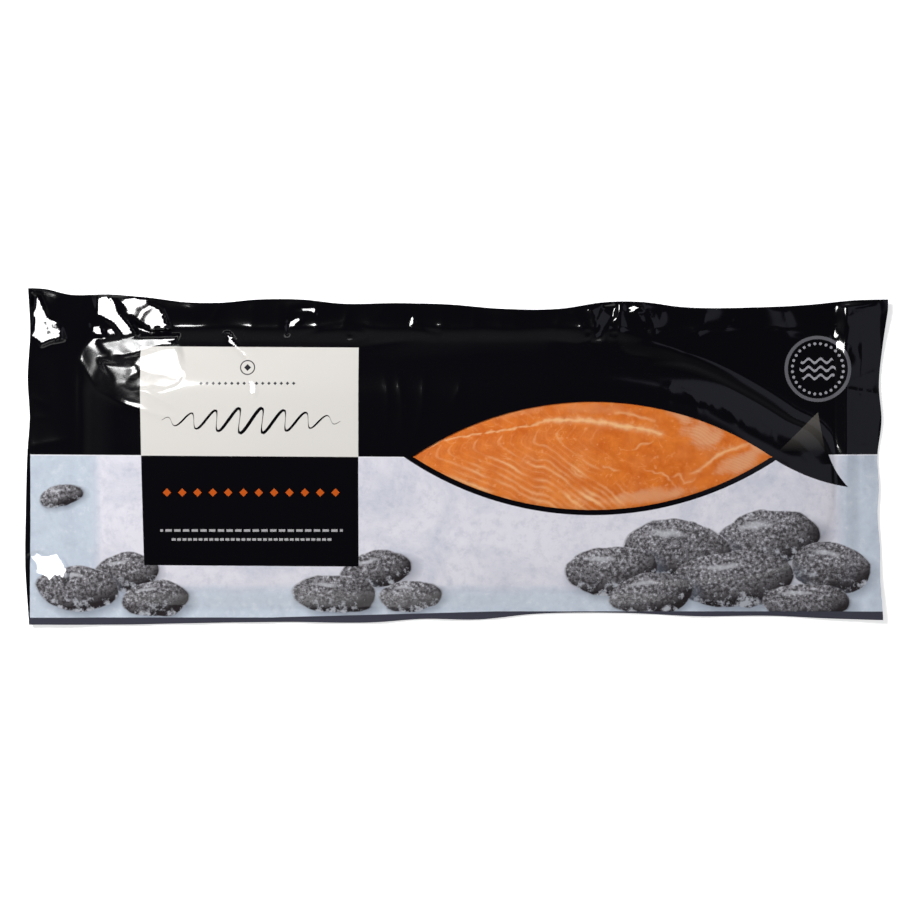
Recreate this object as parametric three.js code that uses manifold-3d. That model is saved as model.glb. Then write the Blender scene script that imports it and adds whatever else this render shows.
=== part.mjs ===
// A vacuum pack of smoked salmon, lying on its back: a side of salmon on a stiff
// board, shut in a printed film pouch with an eye-shaped clear window.
// Millimetres. +X runs along the pack towards the tail, +Y across it towards the
// back of the fish, +Z up out of the front. The origin is under the middle of the pack.

import * as THREE from "three";
import { mergeVertices } from "three/addons/utils/BufferGeometryUtils.js";
import Module from "manifold-3d";

const wasm = await Module();
wasm.setup();

// Film, and the clearance between neighbouring pieces
const FILM = 0.8;
const GAP = 0.3;

// Board under the fish
const BOARD_LENGTH = 560;
const BOARD_WIDTH = 184;
const BOARD_THICKNESS = 1.5;
const BOARD_CORNER = 18;
const BOARD_CENTRE_X = 8.5;
const BOARD_CENTRE_Y = -8.5;
const BOARD_Z = FILM + GAP;

// Side of salmon: how thick it is, how much it thins out, and the round of its edge
const SALMON_Z = BOARD_Z + BOARD_THICKNESS + GAP;
const SALMON_THICKNESS = 21;
const TAIL_THINNING = 0.6;
const SHOULDER_THINNING = 0.14;
const BELLY_THINNING = 0.46;
const BACK_THINNING = 0.12;
const EDGE_ROUND = 34;
const EDGE_THICKNESS = 1.2;
// Its back and its belly, from the shoulder at the left to the tail at the right
const BACK_EDGE = [
  [-262, 48], [-252, 66], [-225, 76], [-130, 80], [0, 80], [130, 79],
  [181, 68], [218, 50], [248, 31], [276, 11], [284, -4],
];
const BELLY_EDGE = [
  [-262, -66], [-252, -84], [-220, -93], [-100, -96], [60, -97],
  [180, -95], [235, -87], [266, -70], [280, -50], [284, -36],
];

// Window in the front film, between two arcs that meet in its tips
const WINDOW_X = 101.3;
const WINDOW_Y = 0.2;
const WINDOW_HALF_LENGTH = 133.9;
const WINDOW_RISE = 40.3;
const WINDOW_DROP = 38.5;

// Outline of the pouch: four wavy edges between its corners
const TOP_EDGE = [
  [-318.7, 124.6], [-289, 121], [-259, 121], [-229, 118.6], [-200, 115],
  [-177, 114.2], [-148, 116.4], [-116, 117.5], [-87, 114.2], [-42, 114.5],
  [-5, 113.4], [32, 109.7], [77, 110.4], [110, 115.3], [137, 115.3],
  [166, 111.6], [218, 111.2], [263, 113.4], [293, 116.4], [320.9, 117.1],
];
const BOTTOM_EDGE = [
  [-317.9, -124.6], [-244, -124.6], [-191, -123.5], [-124, -122.7],
  [-64, -123.1], [-23, -120.5], [18, -120.9], [55, -117.1], [122, -116],
  [185, -118.6], [233, -118.2], [278, -120.1], [316.4, -121.2],
];
const LEFT_EDGE = [
  [-317.9, -124.6], [-320.9, -81], [-320.9, -47], [-319.4, 5],
  [-317.9, 27], [-319.4, 57], [-317.2, 93], [-318.7, 124.6],
];
const RIGHT_EDGE = [
  [316.4, -121.2], [314.6, -91], [314.6, -69], [312.7, -40], [313.8, -21],
  [312.7, 1], [315.7, 31], [313.8, 57], [317.6, 88], [320.9, 117.1],
];

// Sealed margin round the board: how it lifts off the table and ripples
const MARGIN_LIFT = 2.2;
const MARGIN_RISE_OVER = 30;
const CORNER_LIFT = 3.5;
const CORNER_REACH = 75;
const RIPPLE_HEIGHT = 1.3;
const RIPPLE_LENGTH = 47;

// Front film: how far it runs on before it falls from the board and from the salmon
const BOARD_SHOULDER = 3;
const BOARD_SKIRT = 11;
const SALMON_SKIRT = 14;
const SKIRT_BEND = 2;

// Facets
const POUCH_COLUMNS = 60;
const POUCH_ROWS = 24;
const SALMON_COLUMNS = 34;
const SALMON_ROWS = 16;
const OUTLINE_STEPS = 60;
const ARC_STEPS = 20;
const CORNER_STEPS = 6;

const clamp01 = (t) => Math.min(1, Math.max(0, t));
const smooth = (t) => clamp01(t) ** 2 * (3 - 2 * clamp01(t));
const crowdEnds = (t) => 0.5 - 0.5 * Math.cos(Math.PI * t);

const curveThrough = (points) =>
  new THREE.CatmullRomCurve3(
    points.map(([x, y]) => new THREE.Vector3(x, y, 0)),
    false,
    "centripetal",
  );

// A surface over a grid of points of the XY plane, with its rim in counter-clockwise order
function gridSheet(columns, rows, placeAt, heightAt) {
  const positions = [];
  const triangles = [];
  const rim = [];
  const at = (i, j) => j * (columns + 1) + i;
  for (let j = 0; j <= rows; j++) {
    for (let i = 0; i <= columns; i++) {
      const { x, y } = placeAt(i / columns, j / rows);
      positions.push([x, y, heightAt(x, y)]);
    }
  }
  for (let j = 0; j < rows; j++) {
    for (let i = 0; i < columns; i++) {
      triangles.push([at(i, j), at(i + 1, j), at(i + 1, j + 1)]);
      triangles.push([at(i, j), at(i + 1, j + 1), at(i, j + 1)]);
    }
  }
  for (let i = 0; i < columns; i++) rim.push(at(i, 0));
  for (let j = 0; j < rows; j++) rim.push(at(columns, j));
  for (let i = columns; i > 0; i--) rim.push(at(i, rows));
  for (let j = rows; j > 0; j--) rim.push(at(0, j));
  return { positions, triangles, rim };
}

// A flat sheet that has the rim of another
function floorSheet(sheet, z) {
  const positions = sheet.rim.map((k) => [sheet.positions[k][0], sheet.positions[k][1], z]);
  const outline = positions.map(([x, y]) => new THREE.Vector2(x, y));
  return {
    positions,
    triangles: THREE.ShapeUtils.triangulateShape(outline, []),
    rim: positions.map((_, k) => k),
  };
}

// The closed solid between two sheets whose rims match
function between(lower, upper) {
  const low = lower.positions.length;
  const index = [];
  for (const [a, b, c] of lower.triangles) index.push(a, c, b);
  for (const [a, b, c] of upper.triangles) index.push(low + a, low + b, low + c);
  lower.rim.forEach((a, k) => {
    const next = (k + 1) % lower.rim.length;
    const b = lower.rim[next];
    const c = low + upper.rim[next];
    const d = low + upper.rim[k];
    index.push(a, b, c, a, c, d);
  });
  const geometry = new THREE.BufferGeometry();
  const positions = [...lower.positions, ...upper.positions].flat();
  geometry.setAttribute("position", new THREE.Float32BufferAttribute(positions, 3));
  geometry.setIndex(index);
  return geometry;
}

function toSolid(geometry) {
  const plain = geometry.clone();
  plain.deleteAttribute("normal");
  plain.deleteAttribute("uv");
  const merged = mergeVertices(plain, 1e-4);
  return new wasm.Manifold(
    new wasm.Mesh({
      numProp: 3,
      vertProperties: merged.attributes.position.array,
      triVerts: new Uint32Array(merged.index.array),
    }),
  );
}

function toGeometry(solid) {
  const mesh = solid.getMesh();
  const geometry = new THREE.BufferGeometry();
  geometry.setAttribute("position", new THREE.BufferAttribute(mesh.vertProperties, 3));
  geometry.setIndex(new THREE.BufferAttribute(mesh.triVerts, 1));
  return geometry;
}

// Board, grown on all sides by grow
function boardGeometry(grow) {
  const halfLength = BOARD_LENGTH / 2 - BOARD_CORNER;
  const halfWidth = BOARD_WIDTH / 2 - BOARD_CORNER;
  const corner = BOARD_CORNER + grow;
  const quarter = Math.PI / 2;
  const shape = new THREE.Shape();
  shape.absarc(halfLength, halfWidth, corner, 0, quarter);
  shape.absarc(-halfLength, halfWidth, corner, quarter, 2 * quarter);
  shape.absarc(-halfLength, -halfWidth, corner, 2 * quarter, 3 * quarter);
  shape.absarc(halfLength, -halfWidth, corner, 3 * quarter, 4 * quarter);
  const geometry = new THREE.ExtrudeGeometry(shape, {
    depth: BOARD_THICKNESS + 2 * grow,
    bevelEnabled: false,
    curveSegments: CORNER_STEPS,
  });
  return geometry.translate(BOARD_CENTRE_X, BOARD_CENTRE_Y, BOARD_Z - grow);
}

// How far a point lies outside the board's outline
function outsideBoard(x, y) {
  const beyondX = Math.abs(x - BOARD_CENTRE_X) - (BOARD_LENGTH / 2 - BOARD_CORNER);
  const beyondY = Math.abs(y - BOARD_CENTRE_Y) - (BOARD_WIDTH / 2 - BOARD_CORNER);
  const fromCornerCentre = Math.hypot(Math.max(0, beyondX), Math.max(0, beyondY));
  return Math.max(0, fromCornerCentre - BOARD_CORNER);
}

// Side of salmon
const backCurve = curveThrough(BACK_EDGE);
const bellyCurve = curveThrough(BELLY_EDGE);
const salmonOutline = [
  ...bellyCurve.getPoints(OUTLINE_STEPS),
  ...backCurve.getPoints(OUTLINE_STEPS).reverse(),
];
const salmonBox = new THREE.Box3().setFromPoints(salmonOutline);
const salmonSize = salmonBox.getSize(new THREE.Vector3());
const salmonMiddle = salmonBox.getCenter(new THREE.Vector3());

// Distance to the salmon's outline, positive inside it
function insideSalmon(x, y) {
  let nearest = Infinity;
  let inside = false;
  salmonOutline.forEach((a, k) => {
    const b = salmonOutline[(k + 1) % salmonOutline.length];
    const dx = b.x - a.x;
    const dy = b.y - a.y;
    const t = clamp01(((x - a.x) * dx + (y - a.y) * dy) / (dx * dx + dy * dy || 1));
    nearest = Math.min(nearest, Math.hypot(x - a.x - t * dx, y - a.y - t * dy));
    const passes = a.y > y !== b.y > y;
    if (passes && x < a.x + ((y - a.y) / dy) * dx) inside = !inside;
  });
  return inside ? nearest : -nearest;
}

// Thickness away from the edge: full along the back, thinner over the belly and to the tail
function salmonFullness(x, y) {
  const along = (x - salmonBox.min.x) / salmonSize.x;
  const across = (y - salmonBox.min.y) / salmonSize.y;
  const tail = 1 - TAIL_THINNING * smooth((along - 0.45) / 0.6);
  const shoulder = 1 - SHOULDER_THINNING * smooth(1 - along / 0.25);
  const belly = BELLY_THINNING * smooth(1 - across / 0.62);
  const back = BACK_THINNING * smooth((across - 0.75) / 0.25);
  return SALMON_THICKNESS * tail * shoulder * (1 - belly - back);
}

function salmonTop(x, y) {
  const t = clamp01(insideSalmon(x, y) / EDGE_ROUND);
  const round = Math.sqrt(1 - (1 - t) ** 2);
  return SALMON_Z + EDGE_THICKNESS + (salmonFullness(x, y) - EDGE_THICKNESS) * round;
}

// The salmon, grown on all sides by grow, with facets crowded towards its round edge
function salmonGeometry(grow) {
  const placeAt = (u, v) => {
    const belly = bellyCurve.getPoint(crowdEnds(u));
    const back = backCurve.getPoint(crowdEnds(u));
    return belly.lerp(back, crowdEnds(v));
  };
  const top = gridSheet(SALMON_COLUMNS, SALMON_ROWS, placeAt, salmonTop);
  for (const point of top.positions) {
    point[0] += ((point[0] - salmonMiddle.x) * 2 * grow) / salmonSize.x;
    point[1] += ((point[1] - salmonMiddle.y) * 2 * grow) / salmonSize.y;
    point[2] += grow;
  }
  return between(floorSheet(top, SALMON_Z - grow), top);
}

// Pouch: a point at u from its left edge to its right and v from its bottom edge to its top
const topCurve = curveThrough(TOP_EDGE);
const bottomCurve = curveThrough(BOTTOM_EDGE);
const leftCurve = curveThrough(LEFT_EDGE);
const rightCurve = curveThrough(RIGHT_EDGE);

function pouchPlace(u, v) {
  const acrossV = bottomCurve.getPointAt(u).lerp(topCurve.getPointAt(u), v);
  const acrossU = leftCurve.getPointAt(v).lerp(rightCurve.getPointAt(v), u);
  const low = bottomCurve.getPointAt(0).lerp(bottomCurve.getPointAt(1), u);
  const high = topCurve.getPointAt(0).lerp(topCurve.getPointAt(1), u);
  return acrossV.add(acrossU).sub(low.lerp(high, v));
}

const pouchHalfLength = (RIGHT_EDGE.at(-1)[0] - LEFT_EDGE[0][0]) / 2;
const pouchHalfWidth = (TOP_EDGE[0][1] - BOTTOM_EDGE[0][1]) / 2;

function marginLift(x, y) {
  const rise = smooth(outsideBoard(x, y) / MARGIN_RISE_OVER);
  const toCorner = Math.hypot(pouchHalfLength - Math.abs(x), pouchHalfWidth - Math.abs(y));
  const corner = CORNER_LIFT * smooth(1 - toCorner / CORNER_REACH);
  const ripple = RIPPLE_HEIGHT * Math.sin((2 * Math.PI * (x + 0.6 * y)) / RIPPLE_LENGTH);
  return rise * (MARGIN_LIFT + corner + ripple);
}

// Front film: it falls in one skirt from the salmon to the board, and in another to the margin.
function filmTop(x, y) {
  const overBoard = SALMON_Z * (1 - smooth((outsideBoard(x, y) - BOARD_SHOULDER) / BOARD_SKIRT));
  const reach = clamp01((insideSalmon(x, y) + SALMON_SKIRT) / (EDGE_ROUND + SALMON_SKIRT));
  const overSalmon = (salmonFullness(x, y) + 2 * GAP) * (1 - (1 - reach) ** SKIRT_BEND);
  return marginLift(x, y) + overBoard + overSalmon + FILM;
}

// Upright block under the window's outline, taken in on all sides by inset
function windowBlock(inset) {
  const half = WINDOW_HALF_LENGTH - 2 * inset;
  const shape = new THREE.Shape();
  const arc = (bulge, side) => {
    const radius = (half ** 2 + bulge ** 2) / (2 * bulge);
    const centreY = side * (bulge - radius);
    const start = Math.atan2(-centreY, side * half);
    shape.absarc(0, centreY, radius, start, Math.atan2(-centreY, -side * half));
  };
  arc(WINDOW_DROP - inset, -1);
  arc(WINDOW_RISE - inset, 1);
  const geometry = new THREE.ExtrudeGeometry(shape, {
    depth: 2 * SALMON_THICKNESS,
    bevelEnabled: false,
    curveSegments: ARC_STEPS,
  });
  return geometry.translate(WINDOW_X, WINDOW_Y, SALMON_Z + EDGE_THICKNESS);
}

const whole = toSolid(
  between(
    gridSheet(POUCH_COLUMNS, POUCH_ROWS, pouchPlace, marginLift),
    gridSheet(POUCH_COLUMNS, POUCH_ROWS, pouchPlace, filmTop),
  ),
);
const contents = toSolid(boardGeometry(GAP)).add(toSolid(salmonGeometry(GAP)));
const shell = whole.subtract(contents);
const pouch = shell.subtract(toSolid(windowBlock(0)));
const windowFilm = shell.intersect(toSolid(windowBlock(GAP)));

function piece(name, geometry, color, roughness) {
  const material = new THREE.MeshStandardMaterial({ color, roughness, metalness: 0 });
  const mesh = new THREE.Mesh(geometry, material);
  mesh.name = name;
  return mesh;
}

const pack = new THREE.Group();
pack.add(
  piece("pouch", toGeometry(pouch), 0x0a080e, 0.12),
  piece("window_film", toGeometry(windowFilm), 0xf4f4f6, 0.08),
  piece("salmon_side", salmonGeometry(0), 0xd87a3a, 0.35),
  piece("board", boardGeometry(0), 0xe6dfd6, 0.5),
);

// The pouch's waves aren't even, so its box is centred over the origin.
const bounds = new THREE.Box3().setFromObject(pack);
const centre = bounds.getCenter(new THREE.Vector3());
pack.position.set(-centre.x, -centre.y, -bounds.min.z);

export default pack;
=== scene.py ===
# Vacuum pack of smoked salmon: a side of fish on a card board inside a pouch of thin glossy
# film, printed in black, cream and ice tones, with an eye-shaped clear window. The air is
# drawn out and the edges are heat-sealed, so the film clings and creases.

import bpy
import numpy as np
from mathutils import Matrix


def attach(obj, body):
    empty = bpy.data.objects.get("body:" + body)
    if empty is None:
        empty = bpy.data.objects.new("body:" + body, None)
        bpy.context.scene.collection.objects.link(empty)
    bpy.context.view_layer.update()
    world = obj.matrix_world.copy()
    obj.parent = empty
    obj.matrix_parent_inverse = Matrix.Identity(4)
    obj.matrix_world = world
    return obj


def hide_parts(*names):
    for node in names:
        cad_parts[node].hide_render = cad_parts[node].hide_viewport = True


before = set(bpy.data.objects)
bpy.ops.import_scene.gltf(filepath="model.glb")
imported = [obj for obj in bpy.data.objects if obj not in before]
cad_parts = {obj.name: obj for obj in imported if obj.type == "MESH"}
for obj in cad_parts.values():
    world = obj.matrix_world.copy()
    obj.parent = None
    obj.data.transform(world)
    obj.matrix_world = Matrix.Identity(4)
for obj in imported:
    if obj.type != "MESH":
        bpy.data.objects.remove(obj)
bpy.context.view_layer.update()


# Board: a stiff card that carries the fish, white and laminated. It is die-cut with round corners,
# and nothing fixes it but the film, which is drawn down over it.
MM = 0.001
BOARD_LENGTH = 560
BOARD_WIDTH = 184
BOARD_CORNER = 18
BOARD_THICKNESS = 1.5
BOARD_CENTRE = (8.6, -8.4)
BOARD_Z = 1.1
CARD_SHADE = (0.62, 0.58, 0.51, 1)
CARD_LIGHT = (0.74, 0.71, 0.65, 1)

bpy.ops.object.select_all(action="DESELECT")
board_place = (BOARD_CENTRE[0] * MM, BOARD_CENTRE[1] * MM, BOARD_Z * MM)
bpy.ops.mesh.primitive_plane_add(size=MM, location=board_place)
board = bpy.context.object
board.name = "card_board"
bpy.ops.transform.resize(value=(BOARD_LENGTH, BOARD_WIDTH, 1))
bpy.ops.object.transform_apply(location=True, rotation=False, scale=True)
bpy.ops.object.mode_set(mode="EDIT")
bpy.ops.mesh.select_all(action="SELECT")
bpy.ops.mesh.bevel(offset=BOARD_CORNER * MM, segments=10, affect="VERTICES")
bpy.ops.mesh.extrude_region_move(TRANSFORM_OT_translate={"value": (0, 0, BOARD_THICKNESS * MM)})
bpy.ops.mesh.select_all(action="SELECT")
bpy.ops.mesh.normals_make_consistent(inside=False)
bpy.ops.object.mode_set(mode="OBJECT")
bpy.ops.object.shade_smooth_by_angle(angle=0.6)

card = bpy.data.materials.new("laminated_card")
card.use_nodes = True
card_shader = card.node_tree.nodes["Principled BSDF"]
card_shader.inputs["Roughness"].default_value = 0.35
card_place = card.node_tree.nodes.new("ShaderNodeTexCoord")
card_fibre = card.node_tree.nodes.new("ShaderNodeTexNoise")
card_fibre.inputs["Scale"].default_value = 420
card_fibre.inputs["Detail"].default_value = 3
card_tone = card.node_tree.nodes.new("ShaderNodeValToRGB")
card_tone.color_ramp.elements[0].color = CARD_SHADE
card_tone.color_ramp.elements[1].color = CARD_LIGHT
card.node_tree.links.new(card_place.outputs["Object"], card_fibre.inputs["Vector"])
card.node_tree.links.new(card_fibre.outputs["Fac"], card_tone.inputs["Fac"])
card.node_tree.links.new(card_tone.outputs["Color"], card_shader.inputs["Base Color"])
board.data.materials.append(card)
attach(board, "root")
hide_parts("board")


# Side of salmon: one side of the fish, boned and smoked, with moist orange flesh and pale lines of
# fat. It is thick and round along its back, thin at the belly and the tail, and lies on the board.
SALMON_Z = 2.9
SALMON_THICKNESS = 21
EDGE_ROUND = 34
EDGE_THICKNESS = 1.2
BACK_EDGE = [
    (-262, 48), (-252, 66), (-225, 76), (-130, 80), (0, 80), (130, 79),
    (181, 68), (218, 50), (248, 31), (276, 11), (284, -4),
]
BELLY_EDGE = [
    (-262, -66), (-252, -84), (-220, -93), (-100, -96), (60, -97),
    (180, -95), (235, -87), (266, -70), (280, -50), (284, -36),
]
SALMON_LEFT, SALMON_RIGHT = -262, 284
SALMON_LOW, SALMON_HIGH = -97, 80.8


def smoothstep(t):
    t = np.clip(t, 0, 1)
    return t * t * (3 - 2 * t)


def smooth_through(points, at):
    """The height, at each place, of a smooth curve through the given (place, height) points."""
    place, height = np.array(points, float).T
    slope = np.gradient(height, place)
    k = np.clip(np.searchsorted(place, at) - 1, 0, len(place) - 2)
    span = place[k + 1] - place[k]
    t = np.clip((at - place[k]) / span, 0, 1)
    rise = t * t * (3 - 2 * t)
    lean = t * (1 - t) ** 2 * slope[k] - t * t * (1 - t) * slope[k + 1]
    return height[k] + (height[k + 1] - height[k]) * rise + span * lean


def distance_to(x, y, line):
    """Distance from each point to a line of (x, y) corners, and how far along the line, from 0 to 1."""
    nearest = np.full(x.shape, np.inf)
    along = np.zeros(x.shape)
    line = np.array(line, float)
    lengths = np.hypot(*(line[1:] - line[:-1]).T)
    total = max(lengths.sum(), 1e-9)
    start = 0
    for a, b, length in zip(line, line[1:], lengths):
        d = b - a
        t = np.clip(((x - a[0]) * d[0] + (y - a[1]) * d[1]) / max(length**2, 1e-12), 0, 1)
        gap = np.hypot(x - a[0] - t * d[0], y - a[1] - t * d[1])
        closer = gap < nearest
        nearest = np.where(closer, gap, nearest)
        along = np.where(closer, (start + t * length) / total, along)
        start += length
    return nearest, along


def inside_salmon(x, y):
    """Distance to the salmon's outline, positive inside it."""
    at = np.linspace(SALMON_LEFT, SALMON_RIGHT, 110)
    back = smooth_through(BACK_EDGE, at)
    belly = smooth_through(BELLY_EDGE, at)
    outline = [*zip(at, belly), *zip(at[::-1], back[::-1]), (at[0], belly[0])]
    gap, _ = distance_to(x, y, outline)
    within = (x > SALMON_LEFT) & (x < SALMON_RIGHT)
    within &= (y > smooth_through(BELLY_EDGE, x)) & (y < smooth_through(BACK_EDGE, x))
    return np.where(within, gap, -gap)


def salmon_fullness(x, y):
    """Thickness of the fish away from its edge."""
    along = (x - SALMON_LEFT) / (SALMON_RIGHT - SALMON_LEFT)
    across = (y - SALMON_LOW) / (SALMON_HIGH - SALMON_LOW)
    tail = 1 - 0.6 * smoothstep((along - 0.45) / 0.6)
    shoulder = 1 - 0.14 * smoothstep(1 - along / 0.25)
    belly = 0.46 * smoothstep(1 - across / 0.62)
    back = 0.12 * smoothstep((across - 0.75) / 0.25)
    return SALMON_THICKNESS * tail * shoulder * (1 - belly - back)


def salmon_top(x, y, inside):
    round_off = np.sqrt(1 - (1 - np.clip(inside / EDGE_ROUND, 0, 1)) ** 2)
    return SALMON_Z + EDGE_THICKNESS + (salmon_fullness(x, y) - EDGE_THICKNESS) * round_off


def ripples(x, y, length, seed, count=9):
    """Gentle uneven waves of about this length, between -1 and 1."""
    rng = np.random.default_rng(seed)
    total = np.zeros(x.shape)
    for turn, phase, stretch in rng.uniform((0, 0, 0.6), (np.pi, 2 * np.pi, 1.6), (count, 3)):
        total += np.sin((x * np.cos(turn) + y * np.sin(turn)) * 2 * np.pi / (length * stretch) + phase)
    return total / np.sqrt(4.5 * count)


def points_of(piece):
    """The points of a piece's mesh, in metres."""
    spots = np.empty(len(piece.data.vertices) * 3)
    piece.data.vertices.foreach_get("co", spots)
    return spots.reshape(-1, 3)


def move_points(piece, spots):
    piece.data.vertices.foreach_set("co", spots.ravel())
    piece.data.update()


# The grid is close under the window and wide where the printed film hides the fish.
SALMON_COLUMNS = 480
SALMON_ROWS = 180
COLUMN_PLACES = (SALMON_LEFT, -256, -48, 244, 278, SALMON_RIGHT)
bpy.ops.object.select_all(action="DESELECT")
bpy.ops.mesh.primitive_grid_add(x_subdivisions=SALMON_COLUMNS, y_subdivisions=SALMON_ROWS, size=1)
salmon = bpy.context.object
salmon.name = "smoked_side"
spots = points_of(salmon)
fish_x = np.interp(spots[:, 0] + 0.5, (0, 0.03, 0.14, 0.9, 0.97, 1), COLUMN_PLACES)
across = np.interp(spots[:, 1] + 0.5, (0, 0.05, 0.15, 0.87, 0.95, 1), (0, 0.04, 0.29, 0.82, 0.96, 1))
low_edge = smooth_through(BELLY_EDGE, fish_x)
fish_y = low_edge + (smooth_through(BACK_EDGE, fish_x) - low_edge) * across
inside = inside_salmon(fish_x, fish_y)
inside[inside < 0.01] = 0

# Flesh: a beaded line of fat along the middle, chevrons that hook back from it, and
# long wavy stripes that run down to the belly.
FAT_MIDLINE = [
    (-36, -2), (-11.5, 12.3), (-2.6, 13.8), (18.2, 17.5), (39, 20.8), (58.4, 24), (65, 27), (80, 27.4),
    (93.3, 27.6), (110.4, 25.4), (121.6, 23), (132, 21.6), (143, 19.8), (152, 17),
]
TAIL_STREAK = [(176, -12), (182, -9), (191, -1), (199.7, 4.1), (209.3, 6.8), (222, 12)]
UPPER_FLECK = [(118, 33), (126, 32.5), (134, 30.4), (147, 27)]
VEINS = [
    [(107, -6), (113, -9), (121, -10)], [(139, -9), (147, -12), (155, -13), (160, -19), (163, -24)],
    [(160, -15), (166, -13), (170, -20), (177, -16)], [(173, -13), (178, -11), (184, -8)],
    [(84, -5), (88, -12), (96, -16)], [(131, 6), (138, 9), (146, 12)],
]
PALE_PATCHES = [
    (184, 16, 17, 11, -0.3), (211, -4, 19, 8, 0.3), (168, 31, 13, 6, -0.45), (142, -29, 34, 6, 0.15),
    (226, 8, 12, 6, -0.5), (20, 32, 60, 7, 0.15), (100, 36, 34, 5, -0.05),
]
STRIPE_GAP = 9.2
KINK_ROUND = 1.7
VEIN_WIDTH = 0.75
RELIEF_ROOM = 0.3


def waves(length, seed):
    return ripples(fish_x, fish_y, length, seed)


def bell(t):
    """1 where t is 0, fading to nearly 0 where it is 2 either way."""
    return np.exp(-(t**2))


# Chevrons and stripes: below is the depth under the midline, and hook the depth of the kink
midline_y = smooth_through([*FAT_MIDLINE, (185, 8), (236, 1)], fish_x)
below = midline_y - fish_y - 0.9 * waves(16, 5)
hook = np.interp(fish_x, (-40, 30, 100), (11, 10, 16)) + 1.1 * ripples(fish_x, 0 * fish_y, 33, 19)
arm = KINK_ROUND * np.logaddexp(0, (below - hook) / KINK_ROUND)
lean = 1.3 * np.minimum(below, 0) - 0.85 * np.maximum(below, 0) + 2.65 * arm
wavy_x = fish_x + 0.7 * waves(26, 3) + 0.7 * waves(6, 4) + 0.35 * waves(3.2, 26)
stripe = (wavy_x - lean) / STRIPE_GAP
chance = np.sin(np.round(stripe) * 91.7) * 0.5 + 0.5
steep = np.where(below < 0, 0.6, np.interp(below - hook, (-4, 4), (0.76, 0.49)))
off_stripe = np.abs(stripe - np.round(stripe)) * STRIPE_GAP * steep
lobe = np.exp(-(((fish_x - 92) / 26) ** 2 + ((fish_y + 31) / 8) ** 2))
width = 0.42 + 0.3 * smoothstep(arm / 25) + 0.25 * chance
width += 1.2 * lobe * np.clip(0.5 + waves(12, 20), 0, 1)
breaks = np.clip(0.55 + 0.75 * waves(20, 7), 0, 1)
not_right = 1 - smoothstep((fish_x - 75) / 50)
onset = smoothstep((below - 2) / 4) * (0.45 + 0.55 * smoothstep((below - hook - 2) / 12))
chevrons = bell(off_stripe / width) * onset * (0.3 + 0.6 * chance + 0.3 * lobe) * breaks
at_belly = smoothstep((-14 - fish_y) / 8) * (1 - smoothstep((fish_x - 112) / 25))
chevrons *= np.maximum(not_right, at_belly)
off_thin_stripe = np.abs(stripe * 3 - np.round(stripe * 3)) * STRIPE_GAP / 3 * steep
chevrons += 0.10 * bell(off_thin_stripe / 0.5) * onset * not_right
above = bell(off_stripe / 0.5) * smoothstep((-1 - below) / 3) * 0.3
above *= 1 - smoothstep((fish_x - 40) / 30)
above *= breaks

# Lines of fat: the midline, a streak near the tail, a fleck and veins
gap, along = distance_to(fish_x, fish_y + 0.8 * waves(8, 8) + 0.4 * waves(3.5, 22), FAT_MIDLINE)
bead = 0.72 + 0.75 * ripples(fish_x, fish_y * 0.3, 6, 9)
thick = np.interp(along, (0, 0.1, 0.45, 0.5, 0.6, 0.86, 1), (0.35, 0.5, 0.6, 0.9, 1.8, 1.9, 0.7))
strength = np.interp(along, (0.45, 0.55), (0.85, 0.62))
midline = bell(gap / (thick * bead + 0.15)) * np.interp(along, (0.05, 0.14, 1), (0, 1, 1)) * strength
midline += 0.35 * bell(gap / 2.8) * smoothstep((along - 0.5) / 0.1)
gap, along = distance_to(fish_x, fish_y + 0.7 * waves(6, 10), TAIL_STREAK)
streak = bell(gap / (0.7 + 0.7 * bead)) * np.sin(np.pi * (0.05 + 0.9 * along)) ** 0.7 * 0.8
gap, along = distance_to(fish_x, fish_y + 0.6 * waves(6, 11), UPPER_FLECK)
fleck = bell(gap / (0.8 * bead + 0.5)) * (0.45 + 0.3 * waves(9, 24))
veins = np.zeros(fish_x.shape)
for line in VEINS:
    gap, along = distance_to(fish_x + 1.3 * waves(8, 13), fish_y + 1.3 * waves(7, 23), line)
    vein = bell(gap / VEIN_WIDTH) * (0.35 + 0.3 * bead) * np.sin(np.pi * (0.1 + 0.8 * along))
    veins = np.maximum(veins, vein)
fat = np.clip(np.maximum.reduce([chevrons, above, midline, streak, fleck, veins]), 0, 1)

# Paler patches, with fine striae across them towards the tail
pale = 0.15 * waves(26, 15)
for patch_x, patch_y, half_length, half_width, turn in PALE_PATCHES:
    dx = fish_x - patch_x
    dy = fish_y - patch_y
    u = (dx * np.cos(turn) + dy * np.sin(turn)) / half_length
    v = (dy * np.cos(turn) - dx * np.sin(turn)) / half_width
    patch = smoothstep((1.2 - np.hypot(u, v) + 0.4 * waves(13, 14) + 0.15 * waves(4, 25)) / 0.9)
    pale = np.maximum(pale, patch * (0.85 if patch_x > 110 else 0.3))
grain = (fish_y + 0.45 * fish_x + 3 * waves(40, 16)) / 1.9
striae = (0.5 + 0.5 * np.sin(2 * np.pi * grain)) * smoothstep((fish_x - 150) / 20) * pale * 0.5

relief = -0.16 * fat + 0.22 * waves(60, 17) - 0.05 * striae
spots[:, 0] = fish_x * MM
spots[:, 1] = fish_y * MM
top = salmon_top(fish_x, fish_y, inside) + relief * smoothstep(inside / 6) - RELIEF_ROOM
spots[:, 2] = top * MM
move_points(salmon, spots)
for name, values in (("fat", fat), ("pale", np.clip(pale, 0, 1)), ("striae", striae)):
    layer = salmon.data.attributes.new(name, "FLOAT", "POINT")
    layer.data.foreach_set("value", values.astype(np.float32))

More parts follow.
